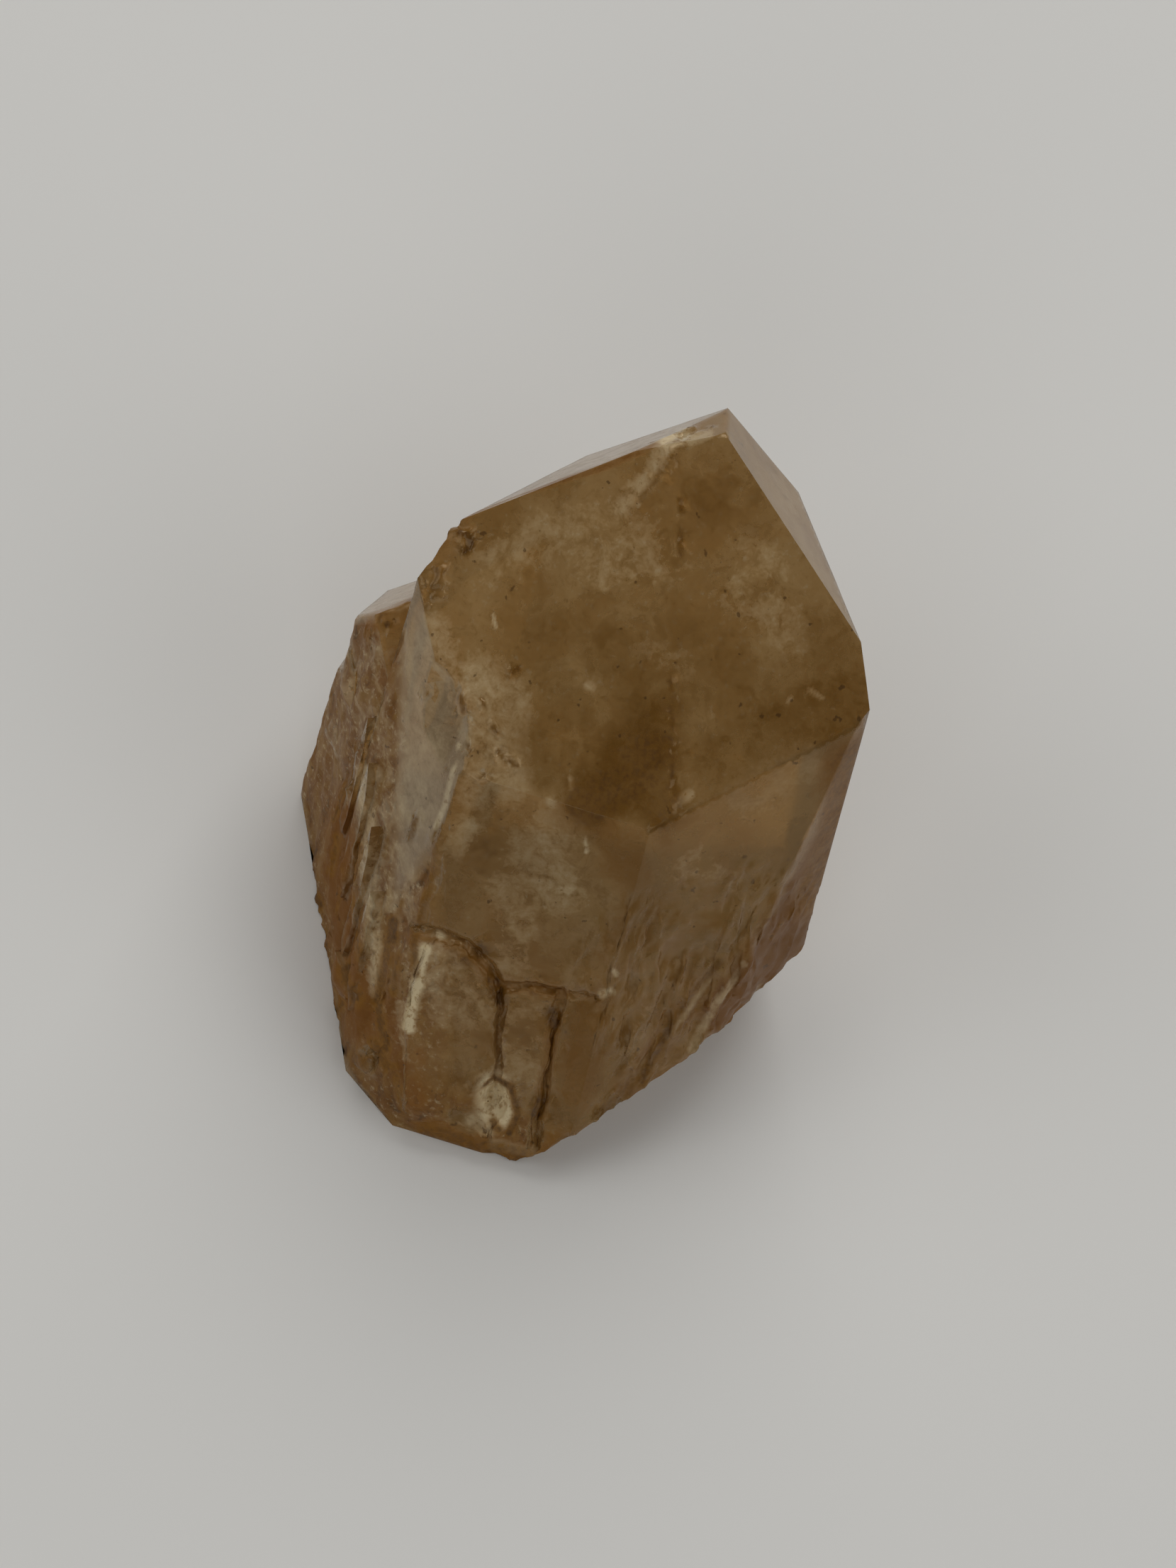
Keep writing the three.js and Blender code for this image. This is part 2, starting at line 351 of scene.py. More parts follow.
NOTES[FRONT_PRISM] = (
    (PALE, 2.4, 0.45, ((560, 810), (510, 860), (470, 900), (520, 960))),
    (PALE, 1.6, 0.38, ((420, 960), (450, 1020), (435, 1100))),
    (PALE, 1.2, 0.5, ((350, 850), (325, 885))),
    (PALE, 0.2, 1, ((575, 870), (578, 892))),
    (PALE, 0.4, 0.8, ((508, 798), (514, 803))),
    (PALE, 0.4, 0.7, ((528, 965), (546, 968))),
    (DARK, 1.8, 0.4, ((300, 900), (330, 960), (300, 1010))),
    (DARK, 2, 0.45, ((650, 880), (690, 960), (660, 1040))),
    (DARK, 1.6, 0.4, ((640, 850), (590, 830))),
    (DARK, 1.8, 0.35, ((520, 1080), (600, 1080))),
    (DARK, 0.4, 0.7, ((292, 850), (283, 920), (256, 1040))),
    (PALE, 0.35, 0.8, ((606, 1168), (625, 1160))),
    (PALE, 0.22, 0.8, ((628, 1120), (634, 1128))),
    (PALE, 2.6, 0.42, ((290, 1110), (330, 1180))),
    (DARK, 2, 0.4, ((290, 1330), (340, 1370))),
    (RUST, 1.2, 0.5, ((240, 1290), (245, 1380))),
    # painted highlight: the bright slender step facet that catches the floor light
    (PALE, 0.5, 1.5, ((266, 1082), (252, 1150), (236, 1230))),
    (DARK, 0.2, 0.6, ((530, 1170), (515, 1225), (505, 1300), (490, 1400), (475, 1455))),
    (DARK, 0.65, 1, ((513, 1205), (516, 1225))),
    (DARK, 0.7, 1, ((492, 1370), (482, 1400))),
    (DARK, 1.8, 0.6, ((590, 1200), (555, 1350), (520, 1440))),
    (DARK, 0.2, 0.6, ((252, 1060), (310, 1066), (346, 1086), (380, 1122), (405, 1150), (414, 1182))),
    (DARK, 0.2, 0.7, ((414, 1170), (450, 1152), (500, 1158), (530, 1165))),
    (DARK, 0.16, 0.12, ((412, 1185), (408, 1250), (402, 1320))),
    (DARK, 0.5, 0.9, ((373, 1078), (380, 1085))),
    (DARK, 0.7, 1, ((398, 1140), (412, 1175))),
    (DARK, 0.5, 0.9, ((345, 1100), (352, 1104))),
    (PALE, 0.35, 0.9, ((292, 1050), (302, 1056))),
    (DARK, 0.16, 0.8, ((389, 1364), (392, 1368))),
    (DARK, 0.16, 0.8, ((408, 1384), (411, 1388))),
    (DARK, 0.15, 0.8, ((393, 1401), (397, 1404))),
    (DARK, 0.15, 0.7, ((412, 1366), (414, 1369))),
    (DARK, 0.36, 0.95, ((362, 1352), (398, 1330), (432, 1348), (444, 1400), (428, 1438))),
    (PALE, 1.25, 1.5, ((396, 1350), (402, 1395))),
    (DARK, 0.5, 0.9, ((398, 1420), (404, 1428))),
    (PALE, 0.8, 0.7, ((358, 1412), (388, 1428))),
    (RUST, 0.7, 0.6, ((252, 1060), (346, 1086), (405, 1150), (530, 1165))),
    (RUST, 0.7, 0.6, ((515, 1225), (490, 1400))),
    (PALE, 2, 0.3, ((450, 1220), (440, 1320))),
    (RUST, 2, 0.5, ((600, 1200), (560, 1350))),
    (RUST, 2.2, 0.4, ((650, 900), (690, 1000), (620, 1120))),
    (RUST, 2.5, 0.15, ((330, 930), (400, 1060))),
)
NOTES[FOOT] = (
    (RUST, 1.4, 0.7, ((270, 1440), (350, 1466), (430, 1482), (500, 1492))),
    (PALE, 0.6, 0.6, ((400, 1462), (470, 1476))),
    (DARK, 0.45, 1, ((404, 1494), (430, 1498))),
    # rust darkened further by painted shade: the foot lip mirrors the shaded floor in front
    (DARK, 1.3, 0.75, ((270, 1440), (350, 1466), (430, 1482), (500, 1492))),
)
NOTES[RIGHT_FLAT] = (
    (PALE, 2.2, 0.35, ((880, 780), (980, 720))),
    (PALE, 1.4, 0.25, ((730, 940), (800, 910))),
    (PALE, 1, 0.28, ((820, 930), (860, 955))),
    (DARK, 1.6, 0.3, ((960, 760), (1000, 820))),
    (RUST, 1.5, 0.3, ((690, 980), (720, 1080), (650, 1200))),
    (DARK, 0.35, 0.8, ((832, 1108), (802, 1140), (770, 1182), (742, 1222))),
    (DARK, 0.45, 0.9, ((742, 1222), (722, 1262), (700, 1302), (684, 1336))),
    (PALE, 0.35, 0.5, ((812, 1140), (760, 1210), (730, 1250))),
    (PALE, 0.4, 0.45, ((880, 1110), (825, 1190), (780, 1275))),
    (DARK, 0.35, 0.6, ((760, 1120), (745, 1138))),
    (DARK, 0.5, 0.6, ((655, 1235), (640, 1262))),
    (DARK, 0.4, 0.7, ((668, 1330), (640, 1372), (600, 1400))),
    (DARK, 0.35, 0.6, ((655, 1290), (640, 1320))),
    (RUST, 1.6, 0.5, ((740, 1290), (700, 1330))),
    (PALE, 0.8, 0.25, ((700, 1200), (650, 1300))),
    (RUST, 2.4, 0.95, ((985, 1010), (950, 1070), (900, 1140), (850, 1205))),
    (RUST, 1.6, 0.55, ((800, 1140), (722, 1262), (660, 1350))),
    (RUST, 5, 0.35, ((800, 900), (720, 1150))),
    (DARK, 0.34, 1, ((948, 1032), (953, 1038))),
    (DARK, 0.34, 1, ((925, 1052), (935, 1058))),
    (DARK, 1, 0.9, ((893, 1205), (868, 1242))),
    (DARK, 0.5, 0.7, ((840, 1246), (850, 1240))),
)
NOTES[RIGHT_PRISM] = (
    (DARK, 1.8, 0.5, ((1070, 800), (1045, 900), (1010, 980))),
    (DARK, 2.8, 0.8, ((1085, 720), (1060, 850), (1020, 960))),
    (RUST, 2.6, 1, ((1085, 720), (1060, 850), (1000, 960), (985, 1050), (950, 1110))),
)
NOTES[LEFT_FLAT] = (
    (PALE, 2.6, 0.5, ((270, 500), (280, 650), (250, 800))),
    (PALE, 1.8, 0.4, ((230, 900), (215, 1000))),
    # painted highlight: the bright rim along the left flat facet's right edge
    (PALE, 0.3, 0.9, ((328, 600), (336, 640), (334, 690), (306, 808), (290, 845))),
    (DARK, 0.22, 0.7, ((272, 590), (275, 592))),
    (DARK, 0.32, 0.8, ((249, 830), (243, 862))),
    (DARK, 0.6, 1, ((206, 1028), (203, 1062))),
    (DARK, 0.3, 0.7, ((222, 990), (212, 1020))),
)
NOTES[SIDE_FLAT] = (
    (DARK, 0.42, 1, ((195, 458), (200, 464))),
    (RUST, 1.1, 0.55, ((215, 480), (198, 555))),
    (PALE, 1.8, 0.3, ((165, 520), (140, 610), (110, 650))),
    (PALE, 1.4, 0.3, ((180, 600), (190, 800), (190, 950))),
    (RUST, 0.5, 0.5, ((120, 600), (90, 640))),
)
NOTES[SIDE_TIP] = (
    (DARK, 0.9, 0.95, ((268, 378), (250, 405))),
    (RUST, 1.6, 0.5, ((240, 420), (215, 450), (160, 450))),
    (DARK, 0.6, 0.8, ((148, 480), (110, 560))),
)
NOTES[LEFT_BREAK] = (
    (RUST, 3, 0.8, ((110, 850), (100, 950), (120, 1100), (135, 1200))),
    (PALE, 1.6, 0.2, ((90, 650), (78, 760))),
    (DARK, 0.4, 0.8, ((136, 690), (118, 760), (90, 830))),
    (DARK, 0.5, 0.8, ((142, 890), (136, 1000), (144, 1100))),
    (DARK, 0.4, 0.7, ((112, 930), (98, 1010))),
    (DARK, 0.5, 1, ((54, 985), (57, 998))),
    (DARK, 1, 0.9, ((118, 1125), (130, 1168))),
    (DARK, 0.4, 0.7, ((62, 1050), (74, 1110))),
    (DARK, 0.5, 0.7, ((85, 930), (95, 870))),
    (DARK, 0.5, 0.8, ((100, 1190), (80, 1230))),
    (PALE, 0.8, 0.6, ((152, 740), (160, 900), (168, 1050), (165, 1200))),
    (DARK, 0.9, 0.8, ((128, 1296), (152, 1312))),
)
NOTES[LOW_LEFT_BREAK] = (
    (DARK, 0.55, 0.85, ((186, 1050), (190, 1100), (174, 1185), (190, 1272))),
    (DARK, 0.4, 0.8, ((214, 1095), (206, 1165))),
    (DARK, 0.45, 0.8, ((244, 1045), (250, 1130))),
    (DARK, 0.5, 0.8, ((165, 1262), (192, 1310))),
    (RUST, 1.5, 0.6, ((198, 1200), (222, 1300))),
    (PALE, 0.45, 0.5, ((216, 1190), (230, 1290))),
    (DARK, 0.4, 0.7, ((205, 1310), (225, 1400))),
)
MARKS: tuple[Mark, ...] = tuple(Mark(facet, *note) for facet, notes in NOTES.items() for note in notes)


@dataclass(frozen=True)
class Noise:
    """A cloudy pattern: repeats in a millimetre, layers of detail and how rough they are."""

    scale: float
    detail: float
    roughness: float = 0.55


@dataclass(frozen=True)
class Step:
    """A smooth step from one value of a pattern to another, with what it gives at each."""

    low: float
    high: float
    at_low: float = 0.0
    at_high: float = 1.0


@dataclass(frozen=True)
class Wear:
    """How a painted mark is worn: its gain, and how much a pattern eats away from it."""

    gain: float
    loss: float


class NodeSheet:
    """Adds and links the nodes of one tree, in the order that colour or light flows."""

    def __init__(self, tree: bpy.types.NodeTree) -> None:
        """Start on an empty tree."""
        self.tree = tree
        tree.nodes.clear()

    def add(self, kind: str, **settings: object) -> bpy.types.Node:
        """Add a node and set its fields.

        Args:
            kind: the node's type, without the prefix ShaderNode.
            settings: values of the node's own fields.

        Returns:
            The new node.
        """
        node = self.tree.nodes.new("ShaderNode" + kind)
        for name, value in settings.items():
            setattr(node, name, value)
        return node

    def put(self, node: bpy.types.Node, **values: object) -> bpy.types.Node:
        """Link a node's inputs to other sockets, or give them plain values.

        Args:
            node: the node to fill in.
            values: a socket or a value for each input, by its name with _ for a space.

        Returns:
            The same node.
        """
        for name, value in values.items():
            self.feed(node.inputs[name.replace("_", " ")], value)
        return node

    def feed(self, socket: Socket, value: object) -> None:
        """Link a socket to another, or give it a plain value.

        Args:
            socket: the input to fill in.
            value: the output that feeds it, or its value.
        """
        if isinstance(value, Socket):
            self.tree.links.new(value, socket)
        else:
            socket.default_value = value

    def work_out(self, kind: str, operation: str, *values: object, **settings: object) -> Socket:
        """Add a node that does sums.

        Args:
            kind: Math, or VectorMath.
            operation: what it does.
            values: a socket or a number for each of its inputs, in order.
            settings: other fields of the node.

        Returns:
            Its result.
        """
        node = self.add(kind, operation=operation, **settings)
        for socket, value in zip(node.inputs, values):
            self.feed(socket, value)
        return node.outputs[0]

    def times(self, pattern: Socket, factor: object) -> Socket:
        """Return a pattern multiplied by a number or by another pattern."""
        return self.work_out("Math", "MULTIPLY", pattern, factor)

    def stretch(self, place: Socket, factors: Triple) -> Socket:
        """Return a place with each of its axes multiplied by a factor."""
        return self.work_out("VectorMath", "MULTIPLY", place, factors)

    def total(self, first: Socket, share: object, second: object, clamp: bool = False) -> Socket:
        """Return the first pattern times its share, plus the second."""
        return self.work_out("Math", "MULTIPLY_ADD", first, share, second, use_clamp=clamp)

    def noise(self, place: Socket, pattern: Noise, output: str = "Fac") -> Socket:
        """Add a noise.

        Args:
            place: the point to read it at, in millimetres.
            pattern: its grain.
            output: Fac for a grey pattern, Color for one with three channels.

        Returns:
            That output.
        """
        node = self.add("TexNoise")
        self.put(node, Vector=place, Scale=pattern.scale, Detail=pattern.detail, Roughness=pattern.roughness)
        return node.outputs[output]

    def ramp(self, pattern: Socket, step: Step) -> Socket:
        """Pass a pattern through a smooth step.

        Args:
            pattern: the value to change.
            step: the step.

        Returns:
            The changed value.
        """
        node = self.add("MapRange", interpolation_type="SMOOTHSTEP")
        self.put(node, Value=pattern, From_Min=step.low, From_Max=step.high)
        return self.put(node, To_Min=step.at_low, To_Max=step.at_high).outputs["Result"]

    def blend(self, share: object, under: object, over: object) -> Socket:
        """Lay one colour over another.

        Args:
            share: how much the upper colour covers, from 0 to 1.
            under: the lower colour.
            over: the upper colour.

        Returns:
            The blended colour.
        """
        node = self.add("Mix", data_type="RGBA")
        for place, value in ((0, share), (6, under), (7, over)):
            self.feed(node.inputs[place], value)
        return node.outputs[2]

    def layers(self, colour: object, *covers: tuple[object, object]) -> Socket:
        """Lay colours over a first one, in order.

        Args:
            colour: the lowest colour.
            covers: a share and a colour for each layer.

        Returns:
            The finished colour.
        """
        for share, cover in covers:
            colour = self.blend(share, colour, cover)
        return colour

    def shifted(self, value: Socket, *shifts: tuple[Socket, float]) -> Socket:
        """Raise or lower a value where there are marks, and keep it from 0 to 1.

        Args:
            value: the value of the clean stone.
            shifts: a pattern and how much it adds for each mark.

        Returns:
            The finished value.
        """
        for pattern, shift in shifts:
            value = self.total(pattern, shift, value, clamp=True)
        return value


@dataclass(frozen=True)
class CitrineFinish:
    """Cloudy golden quartz: clear gloss over a veiled body, stained along its breaks and cracks, with
    painted light on its side facets and painted highlights and shade in its marks.
    """

    honey: Colour = tint(0.58, 0.315, 0.092)
    olive: Colour = tint(0.6, 0.368, 0.14)
    umber: Colour = tint(0.27, 0.115, 0.008)
    sepia: Colour = tint(0.075, 0.03, 0.008)
    cream: Colour = tint(0.76, 0.62, 0.38)
    rust: Colour = tint(0.21, 0.08, 0.012)
    break_tan: Colour = tint(0.29, 0.145, 0.035)
    # painted light: one even tan laid over the right flat facet, for how the light falls on it
    painted_light_tan_right: Colour = tint(0.53, 0.305, 0.095)
    # painted reflection: the pale sheen of the left flat facets, where they mirror the pale floor
    painted_reflection_left: Colour = tint(0.66, 0.5, 0.31)
    gloss_tint: Colour = tint(1.0, 0.80, 0.52)
    depth_colour: Colour = tint(0.55, 0.39, 0.10)
    depth_density: float = 45.0
    ior: float = 1.544

    # The patterns: drift moves the point that clouds, mottle and streaks are read at
    drift: Noise = Noise(0.35, 3.0)
    drift_reach: float = 5.0
    clouds: Noise = Noise(0.16, 4.0, 0.6)
    mottle: Noise = Noise(0.55, 4.0, 0.62)
    grain: Noise = Noise(1.9, 4.0, 0.65)
    specks: Noise = Noise(1.1, 2.0, 0.5)
    streaks: Noise = Noise(0.9, 5.0, 0.62)
    streak_stretch: Triple = (1.0, 1.0, 0.18)
    growth: Noise = Noise(0.8, 3.0, 0.5)
    growth_stretch: Triple = (0.25, 0.25, 1.6)

    # Where the clean stone turns olive, brown or creamy, and how strong the painted light on its side facets
    # is
    olive_clouds: Step = Step(0.36, 0.64)
    umber_mottle: Step = Step(0.50, 0.72, 0.0, 0.45)
    umber_grain: Step = Step(0.56, 0.76, 0.0, 0.35)
    cream_grain: Step = Step(0.44, 0.26, 0.0, 0.30)
    right_painted_light_share: float = 0.75
    left_painted_reflection_share: float = 0.70

    # The crust of the breaks
    rust_streaks: Step = Step(0.38, 0.56)
    sepia_streaks: Step = Step(0.56, 0.70, 0.0, 0.85)
    cream_crust: Step = Step(0.46, 0.28, 0.0, 0.5)
    crust_share: float = 0.92

    # The wear of the painted marks, and the pits and dots
    worn_pattern: Step = Step(0.3, 0.7)
    rust_wear: Wear = Wear(1.5, 0.5)
    veil_and_highlight_wear: Wear = Wear(1.15, 0.50)
    soft_wear: Wear = Wear(1.4, 0.55)
    deep_wear: Wear = Wear(2.2, 0.6)
    deep_from: float = 0.5
    crumb_grain: float = 0.3
    crumb_mottle: float = 0.7
    pit_grain: Step = Step(0.55, 0.63)
    pit_pale: Step = Step(0.48, 0.62, 0.0, 0.5)
    soft_share: float = 0.85
    deep_share: float = 0.9
    dot_specks: Step = Step(0.70, 0.74)
    dot_share: float = 0.6

    # How clear the clean stone is, how matt it is, and what each mark does to that
    clear_clouds: Step = Step(0.30, 0.70, 0.68, 0.56)
    veil_and_highlight_clear: float = -0.35
    broken_clear: float = -0.45
    rust_clear: float = -0.40
    deep_clear: float = -0.40
    matt_mottle: Step = Step(0.35, 0.65, 0.10, 0.20)
    broken_matt: float = 0.40
    rust_matt: float = 0.30

    # The relief: shares of growth lines and grain, and of grain and streaks on the breaks
    wide_growth: float = 0.06
    wide_grain: float = 0.015
    rough_grain: float = 0.25
    rough_streaks: float = 0.5
    bump_strength: float = 0.35
    bump_depth: float = 0.6

    def build(self) -> bpy.types.Material:
        """Make the material.

        Returns:
            The finished material.
        """
        material = bpy.data.materials.new("citrine")
        material.use_nodes = True
        CitrineSheet(material.node_tree, self).finish_surface()
        return material


class CitrineSheet(NodeSheet):
    """The citrine's nodes: patterns and painted marks, blended into one cloudy stained quartz."""

    def __init__(self, tree: bpy.types.NodeTree, look: CitrineFinish) -> None:
        """Read the painted marks and lay out the patterns and the worn marks.

        Args:
            tree: the material's node tree.
            look: the colours, patterns and shares.
        """
        super().__init__(tree)
        self.look = look
        marks = self.add("Attribute", attribute_name="marks")
        self.broken = marks.outputs["Alpha"]
        tones = self.channels(marks)
        # which faces carry the painted light of the side facets
        self.sides = self.channels(self.add("Attribute", attribute_name="facets"))

        self.place = self.crystal_place()
        drifted = self.drifted_place()
        self.clouds = self.noise(drifted, look.clouds)
        self.mottle = self.noise(drifted, look.mottle)
        self.grain = self.noise(self.place, look.grain)
        self.specks = self.noise(self.place, look.specks)
        self.streaks = self.noise(self.stretch(drifted, look.streak_stretch), look.streaks)

        dark = tones[Tone.DARK.value]
        self.pale = tones[Tone.PALE.value]
        crumbs = self.total(self.grain, look.crumb_grain, self.times(self.mottle, look.crumb_mottle))
        self.rust_patch = self.worn(tones[Tone.RUST.value], self.mottle, look.rust_wear)
        self.veil_and_highlight = self.worn(self.pale, crumbs, look.veil_and_highlight_wear)
        self.soft_dark = self.worn(dark, self.mottle, look.soft_wear)
        deepest = self.work_out("Math", "SUBTRACT", dark, look.deep_from)
        self.deep_dark = self.worn(deepest, self.grain, look.deep_wear)

    def channels(self, attribute: bpy.types.Node) -> bpy.types.bpy_prop_collection:
        """Return the three channels of an attribute's colour."""
        return self.put(self.add("SeparateColor"), Color=attribute.outputs["Color"]).outputs

    def crystal_place(self) -> Socket:
        """Read the shaded point from Object coordinates.

        Returns:
            The point in crystal millimetres.
        """
        mapping = self.add("Mapping", vector_type="TEXTURE")
        self.put(mapping, Vector=self.add("TexCoord").outputs["Object"], Scale=(MM, MM, MM))
        return self.put(mapping, Location=AXES.origin(), Rotation=AXES.turn().to_euler()).outputs["Vector"]

    def drifted_place(self) -> Socket:
        """Move that point about by a wide noise, so that the clouds look smeared.

        Returns:
            The moved point.
        """
        noise = self.noise(self.place, self.look.drift, "Color")
        drift = self.work_out("VectorMath", "SUBTRACT", noise, (0.5, 0.5, 0.5))
        return self.work_out("VectorMath", "MULTIPLY_ADD", drift, (self.look.drift_reach,) * 3, self.place)

    def worn(self, mark: Socket, pattern: Socket, wear: Wear) -> Socket:
        """Return a mark's share with its edge eaten away by a pattern."""
        eaten = self.times(self.ramp(pattern, self.look.worn_pattern), -wear.loss)
        return self.total(mark, wear.gain, eaten, clamp=True)

    def clean_colour(self) -> Socket:
        """Colour the clean quartz, with the painted light of its side facets: an even tan on the right flat,
        a painted reflection on the left flats.

        Returns:
            Its colour.
        """
        look = self.look
        return self.layers(
            look.honey,
            (self.ramp(self.clouds, look.olive_clouds), look.olive),
            (self.ramp(self.mottle, look.umber_mottle), look.umber),
            (self.ramp(self.grain, look.umber_grain), look.umber),
            (self.ramp(self.grain, look.cream_grain), look.cream),
            # painted light on the right flat facet, painted reflection on the left flat facets
            (self.times(self.sides[Side.RIGHT.value], look.right_painted_light_share), look.painted_light_tan_right),
            (self.times(self.sides[Side.LEFT.value], look.left_painted_reflection_share), look.painted_reflection_left),
        )

    def crust_colour(self) -> Socket:
        """Colour the stained crust, streaked along the crystal.

        Returns:
            Its colour.
        """
        look = self.look
        return self.layers(
            look.break_tan,
            (self.ramp(self.streaks, look.rust_streaks), look.rust),
            (self.ramp(self.streaks, look.sepia_streaks), look.sepia),
            (self.ramp(self.grain, look.cream_crust), look.cream),
        )

    def colour(self) -> Socket:
        """Colour the whole stone, with its crust, veils, stains, cracks and dots, and the painted highlights
        and painted shade of the marks.

        Returns:
            Its colour.
        """
        look = self.look
        pits = self.times(self.ramp(self.grain, look.pit_grain), self.ramp(self.pale, look.pit_pale))
        return self.layers(
            self.clean_colour(),
            (self.times(self.broken, look.crust_share), self.crust_colour()),
            (self.rust_patch, look.rust),
            # cream over the veils and over the painted highlights
            (self.veil_and_highlight, look.cream),
            (pits, look.umber),
            # umber and sepia over dark stains and cracks, and over the painted shade of the foot lip
            (self.times(self.soft_dark, look.soft_share), look.umber),
            (self.times(self.deep_dark, look.deep_share), look.sepia),
            (self.times(self.ramp(self.specks, look.dot_specks), look.dot_share), look.sepia),
        )

    def clearness(self) -> Socket:
        """Make veils and painted highlights, crust, rust, cracks and painted shade less clear than the clean
        stone.

        Returns:
            The transmission weight.
        """
        look = self.look
        return self.shifted(
            self.ramp(self.clouds, look.clear_clouds),
            (self.veil_and_highlight, look.veil_and_highlight_clear),
            (self.broken, look.broken_clear),
            (self.rust_patch, look.rust_clear),
            (self.deep_dark, look.deep_clear),
        )

    def mattness(self) -> Socket:
        """Make the crust and the rust more matt than the clean stone.

        Returns:
            The roughness.
        """
        look = self.look
        clean = self.ramp(self.mottle, look.matt_mottle)
        return self.shifted(clean, (self.broken, look.broken_matt), (self.rust_patch, look.rust_matt))

    def relief(self) -> Socket:
        """Raise faint growth lines and a rough break surface.

        Returns:
            The normal.
        """
        look = self.look
        growth = self.noise(self.stretch(self.place, look.growth_stretch), look.growth)
        wide = self.total(growth, look.wide_growth, self.times(self.grain, look.wide_grain))
        rough = self.total(self.grain, look.rough_grain, self.times(self.streaks, look.rough_streaks))
        bump = self.put(self.add("Bump"), Strength=look.bump_strength, Distance=look.bump_depth * MM)
        return self.put(bump, Height=self.total(rough, self.broken, wide)).outputs["Normal"]

    def finish_surface(self) -> None:
        """Join it all in the surface, with the absorption inside."""
        look = self.look
        surface = self.add("BsdfPrincipled")
        self.put(surface, Base_Color=self.colour(), Roughness=self.mattness(), Normal=self.relief())
        self.put(surface, Transmission_Weight=self.clearness(), IOR=look.ior, Specular_Tint=look.gloss_tint)
        depth = self.put(self.add("VolumeAbsorption"), Color=look.depth_colour, Density=look.depth_density)
        self.put(self.add("OutputMaterial"), Surface=surface.outputs["BSDF"], Volume=depth.outputs["Volume"])


